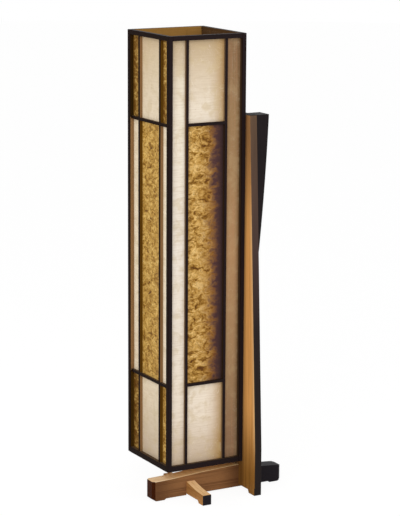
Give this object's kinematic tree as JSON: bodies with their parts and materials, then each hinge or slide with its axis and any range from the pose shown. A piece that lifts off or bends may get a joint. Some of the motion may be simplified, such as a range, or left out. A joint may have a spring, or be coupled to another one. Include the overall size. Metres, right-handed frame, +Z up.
{
  "type": "andon floor lamp",
  "caption": "Tall square paper lantern in a lacquered lattice, held over a low wooden base by a tapered board, with two screw-in bulbs inside.",
  "frame": {"origin": "on the floor, in the middle of the lamp's outline seen from above", "axes": "+Z up, +X from the cross arm along the long beam to the post board, +Y from the lamp's front to its back"},
  "size_m": [0.39, 0.294, 1.214],
  "materials": {
    "amber_paper": "crumpled thin paper, amber",
    "black_rubber": "matt",
    "bottom_board": "plain plywood",
    "brass_contact": "bright brass",
    "cream_paper": "thin mulberry paper, lit from behind",
    "cream_plastic": "matt",
    "frosted_glass": "frosted",
    "lacquered_sticks": "dark lacquer with the wood's brown showing on the sides",
    "lacquered_wing": "black lacquer, satin",
    "nickel_brass": "nickel washed brass",
    "oiled_wood": "oiled softwood, ends lacquered black",
    "plated_steel": "bright plated",
    "porcelain": "white glaze",
    "screw_steel": "zinc plated",
    "solder_tip": "soldered"
  },
  "bodies": {
    "lantern": {"back_amber_paper": "amber_paper", "back_bars": "lacquered_sticks", "back_bottom_rail": "lacquered_sticks", "back_cream_paper": "cream_paper", "back_left_corner_stick": "lacquered_sticks", "back_muntins": "lacquered_sticks", "back_right_corner_stick": "lacquered_sticks", "back_top_rail": "lacquered_sticks", "bottom_board": "bottom_board", "cord_bush": "black_rubber", "cross_arm": "oiled_wood", "flange_screws": "screw_steel", "front_amber_paper": "amber_paper", "front_bars": "lacquered_sticks", "front_bottom_rail": "lacquered_sticks", "front_cream_paper": "cream_paper", "front_left_corner_stick": "lacquered_sticks", "front_muntins": "lacquered_sticks", "front_right_corner_stick": "lacquered_sticks", "front_top_rail": "lacquered_sticks", "lamp_pole": "plated_steel", "lantern_screws": "screw_steel", "left_amber_paper": "amber_paper", "left_bars": "lacquered_sticks", "left_bottom_rail": "lacquered_sticks", "left_cream_paper": "cream_paper", "left_muntins": "lacquered_sticks", "left_top_rail": "lacquered_sticks", "long_beam": "oiled_wood", "lower_bracket": "plated_steel", "lower_holder_contact": "brass_contact", "lower_holder_cup": "porcelain", "lower_holder_shell": "nickel_brass", "pole_flange": "plated_steel", "post_board": "oiled_wood", "post_wing": "lacquered_wing", "right_amber_paper": "amber_paper", "right_bars": "lacquered_sticks", "right_bottom_rail": "lacquered_sticks", "right_cream_paper": "cream_paper", "right_muntins": "lacquered_sticks", "right_top_rail": "lacquered_sticks", "terminal_block": "cream_plastic", "upper_holder_contact": "brass_contact", "upper_holder_cup": "porcelain", "upper_holder_shell": "nickel_brass", "wing_screws": "screw_steel"},
    "upper_bulb_lift": {"upper_bulb_tip": "solder_tip"},
    "upper_bulb": {"upper_bulb_cap": "nickel_brass", "upper_bulb_glass": "frosted_glass"},
    "lower_bulb_lift": {"lower_bulb_tip": "solder_tip"},
    "lower_bulb": {"lower_bulb_cap": "nickel_brass", "lower_bulb_glass": "frosted_glass"}
  },
  "joints": [
    {"name": "upper_bulb_rise", "type": "slide", "parent": "lantern", "child": "upper_bulb_lift", "axis": [0, 0, 1], "range_m": [0, 0.0127]},
    {"name": "upper_bulb_turn", "type": "hinge", "parent": "upper_bulb_lift", "child": "upper_bulb", "pos_m": [-0.0695, 0.0345, 0.6903], "axis": [0, 0, 1], "range_deg": [0, 1260]},
    {"name": "lower_bulb_rise", "type": "slide", "parent": "lantern", "child": "lower_bulb_lift", "axis": [0, 0, 1], "range_m": [0, 0.0127]},
    {"name": "lower_bulb_turn", "type": "hinge", "parent": "lower_bulb_lift", "child": "lower_bulb", "pos_m": [-0.0235, 0.0345, 0.2903], "axis": [0, 0, 1], "range_deg": [0, 1260]}
  ],
  "couplings": [
    {"joint": "upper_bulb_turn", "follows": "upper_bulb_rise", "rad_per_m": 1731.6},
    {"joint": "lower_bulb_turn", "follows": "lower_bulb_rise", "rad_per_m": 1731.6}
  ]
}
